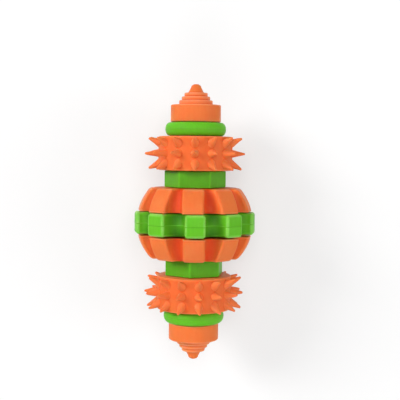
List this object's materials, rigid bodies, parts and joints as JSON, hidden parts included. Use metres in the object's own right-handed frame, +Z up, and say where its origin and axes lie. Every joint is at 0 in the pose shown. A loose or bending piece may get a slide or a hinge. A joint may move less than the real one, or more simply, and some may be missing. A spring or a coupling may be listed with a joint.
{
  "type": "dog toy",
  "caption": "Dog chew toy: rubber gears, hex spacers, spiked rings and round rings that spin on a hidden axle between two stepped cone caps.",
  "frame": {"origin": "on the ground under the middle of the toy, which lies on its side on two teeth of the centre gear", "axes": "+Y along the axle towards the upper end of the picture, +Z up out of the tooth that faces the picture, +X to the picture's right"},
  "size_m": [0.0612, 0.1406, 0.0603],
  "materials": {
    "orange_rubber": "satin moulded rubber, orange",
    "green_rubber": "satin moulded rubber, green",
    "axle_nylon": "natural nylon, smooth",
    "insert_nylon": "natural nylon, as moulded"
  },
  "bodies": {
    "axle_and_caps": {"axle": "axle_nylon", "upper_cap_insert": "insert_nylon", "lower_cap_insert": "insert_nylon", "upper_cone_cap": "orange_rubber", "lower_cone_cap": "orange_rubber"},
    "upper_round_ring": {"upper_round_ring": "green_rubber"},
    "upper_spiked_ring": {"upper_spiked_ring": "orange_rubber"},
    "upper_hex_spacer": {"upper_hex_spacer": "green_rubber"},
    "upper_bevel_gear": {"upper_bevel_gear": "orange_rubber"},
    "centre_gear": {"centre_gear": "green_rubber"},
    "lower_bevel_gear": {"lower_bevel_gear": "orange_rubber"},
    "lower_hex_spacer": {"lower_hex_spacer": "green_rubber"},
    "lower_spiked_ring": {"lower_spiked_ring": "orange_rubber"},
    "lower_round_ring": {"lower_round_ring": "green_rubber"}
  },
  "joints": [
    {"name": "upper_round_ring_spin", "type": "hinge", "parent": "axle_and_caps", "child": "upper_round_ring", "pos_m": [0, 0.0475, 0.02992], "axis": [0, 1, 0], "continuous": true},
    {"name": "upper_spiked_ring_spin", "type": "hinge", "parent": "axle_and_caps", "child": "upper_spiked_ring", "pos_m": [0, 0.0353, 0.02992], "axis": [0, 1, 0], "continuous": true},
    {"name": "upper_hex_spacer_spin", "type": "hinge", "parent": "axle_and_caps", "child": "upper_hex_spacer", "pos_m": [0, 0.0223, 0.02992], "axis": [0, 1, 0], "continuous": true},
    {"name": "upper_bevel_gear_spin", "type": "hinge", "parent": "axle_and_caps", "child": "upper_bevel_gear", "pos_m": [0, 0.012, 0.02992], "axis": [0, 1, 0], "continuous": true},
    {"name": "centre_gear_spin", "type": "hinge", "parent": "axle_and_caps", "child": "centre_gear", "pos_m": [0, 0.00025, 0.02992], "axis": [0, 1, 0], "continuous": true},
    {"name": "lower_bevel_gear_spin", "type": "hinge", "parent": "axle_and_caps", "child": "lower_bevel_gear", "pos_m": [0, -0.012, 0.02992], "axis": [0, 1, 0], "continuous": true},
    {"name": "lower_hex_spacer_spin", "type": "hinge", "parent": "axle_and_caps", "child": "lower_hex_spacer", "pos_m": [0, -0.0223, 0.02992], "axis": [0, 1, 0], "continuous": true},
    {"name": "lower_spiked_ring_spin", "type": "hinge", "parent": "axle_and_caps", "child": "lower_spiked_ring", "pos_m": [0, -0.0353, 0.02992], "axis": [0, 1, 0], "continuous": true},
    {"name": "lower_round_ring_spin", "type": "hinge", "parent": "axle_and_caps", "child": "lower_round_ring", "pos_m": [0, -0.0475, 0.02992], "axis": [0, 1, 0], "continuous": true}
  ]
}
